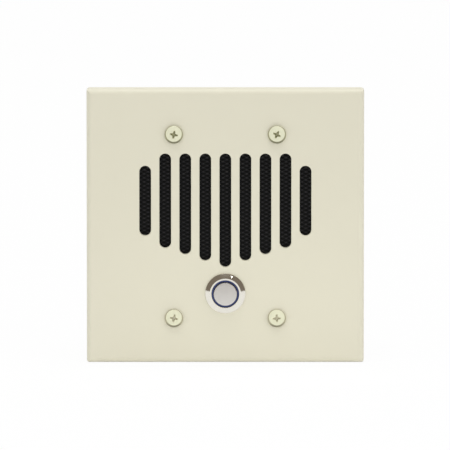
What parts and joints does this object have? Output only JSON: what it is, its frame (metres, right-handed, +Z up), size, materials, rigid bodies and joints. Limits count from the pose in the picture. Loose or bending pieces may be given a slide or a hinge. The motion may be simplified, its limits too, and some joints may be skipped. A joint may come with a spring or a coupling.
{
  "type": "door intercom station",
  "caption": "Flush door speaker station: slotted square steel plate with a lit push button, loudspeaker, microphone and circuit board behind it, for a two-gang wall box.",
  "frame": {"origin": "middle of the four mounting screws, on the plane of the wall that the plate's rim rests on", "axes": "+Y into the wall, square to the plate; +Z up; +X to the right as seen from the front"},
  "size_m": [0.124, 0.0399, 0.124],
  "materials": {
    "powder_coat": "almond powder coat, fine orange peel, satin",
    "screw_paint": "screw heads painted to match the plate",
    "screen_black": "matt black paint on expanded steel",
    "cloth_black": "fine woven black polyester",
    "foam": "closed cell foam",
    "basket_steel": "black electrocoated pressed steel",
    "surround_foam": "treated cloth",
    "cone_paper": "pressed black paper pulp",
    "dust_cap_paper": "pressed black paper",
    "former_film": "amber polyimide film",
    "copper": "enamelled copper winding",
    "spider_cloth": "resin dipped woven cloth",
    "plated_steel": "bright zinc plate",
    "ferrite": "ground black ferrite",
    "fibre_board": "brown phenolic board",
    "brass_plate": "plain brass",
    "tinned": "tinned brass",
    "board_green": "green solder resist on glass board",
    "block_green": "green moulded nylon",
    "chip_black": "matt black epoxy",
    "can_aluminium": "sleeved aluminium can",
    "trimmer_blue": "blue moulded case",
    "rotor_white": "white moulded knob",
    "nylon_white": "natural nylon",
    "boot_rubber": "moulded rubber",
    "capsule_can": "drawn aluminium can",
    "polished_steel": "polished stainless steel",
    "satin_steel": "satin stainless steel",
    "seal_rubber": "nitrile rubber",
    "ring_lens": "blue translucent light guide",
    "switch_black": "black glass filled nylon",
    "guide_plastic": "natural acetal",
    "spring_steel": "drawn stainless wire",
    "lamp_white": "clear epoxy lamp",
    "lead_red": "stranded wire in PVC",
    "lead_grey": "stranded wire in PVC",
    "lead_blue": "stranded wire in PVC"
  },
  "bodies": {
    "station": {"faceplate": "powder_coat", "mounting_screws": "screw_paint", "grille_mesh": "screen_black", "dust_cloth": "cloth_black", "speaker_gasket": "foam", "speaker_frame": "basket_steel", "speaker_surround": "surround_foam", "spider": "spider_cloth", "front_pole_plate": "plated_steel", "magnet": "ferrite", "pole_piece": "plated_steel", "terminal_strip": "fibre_board", "terminal_lugs": "tinned", "weld_studs": "plated_steel", "speaker_clips": "plated_steel", "clip_nuts": "plated_steel", "board_spacers": "brass_plate", "board_nuts": "plated_steel", "circuit_board": "board_green", "terminal_block": "block_green", "terminal_screws": "plated_steel", "amplifier_chip": "chip_black", "chip_legs": "tinned", "capacitors": "can_aluminium", "trimmer_body": "trimmer_blue", "lead_header": "nylon_white", "microphone_boot": "boot_rubber", "microphone_capsule": "capsule_can", "button_housing": "polished_steel", "button_seal": "seal_rubber", "button_washer": "plated_steel", "button_nut": "plated_steel", "light_ring": "ring_lens", "plunger_guide": "guide_plastic", "return_spring": "spring_steel", "led_board": "board_green", "ring_leds": "lamp_white", "switch_base": "switch_black", "switch_terminals": "tinned", "speaker_leads": "lead_red", "microphone_leads": "lead_grey", "switch_leads": "lead_blue"},
    "button": {"button_cap": "satin_steel", "button_plunger": "guide_plastic", "moving_contact": "brass_plate"},
    "cone": {"speaker_cone": "cone_paper", "dust_cap": "dust_cap_paper", "coil_former": "former_film", "coil_winding": "copper"},
    "trimmer": {"trimmer_rotor": "rotor_white"}
  },
  "joints": [
    {"name": "button_press", "type": "slide", "parent": "station", "child": "button", "axis": [0, 1, 0], "range_m": [0, 0.0015], "stiffness_N_per_m": 500, "springref_m": -0.003, "deforming": ["return_spring"]},
    {"name": "cone_travel", "type": "slide", "parent": "station", "child": "cone", "axis": [0, 1, 0], "range_m": [-0.0005, 0.0005], "stiffness_N_per_m": 1500, "deforming": ["speaker_surround", "spider"]},
    {"name": "trimmer_turn", "type": "hinge", "parent": "station", "child": "trimmer", "pos_m": [0.027, 0.0242, 0.01], "axis": [0, 1, 0], "range_deg": [-135, 135]}
  ]
}
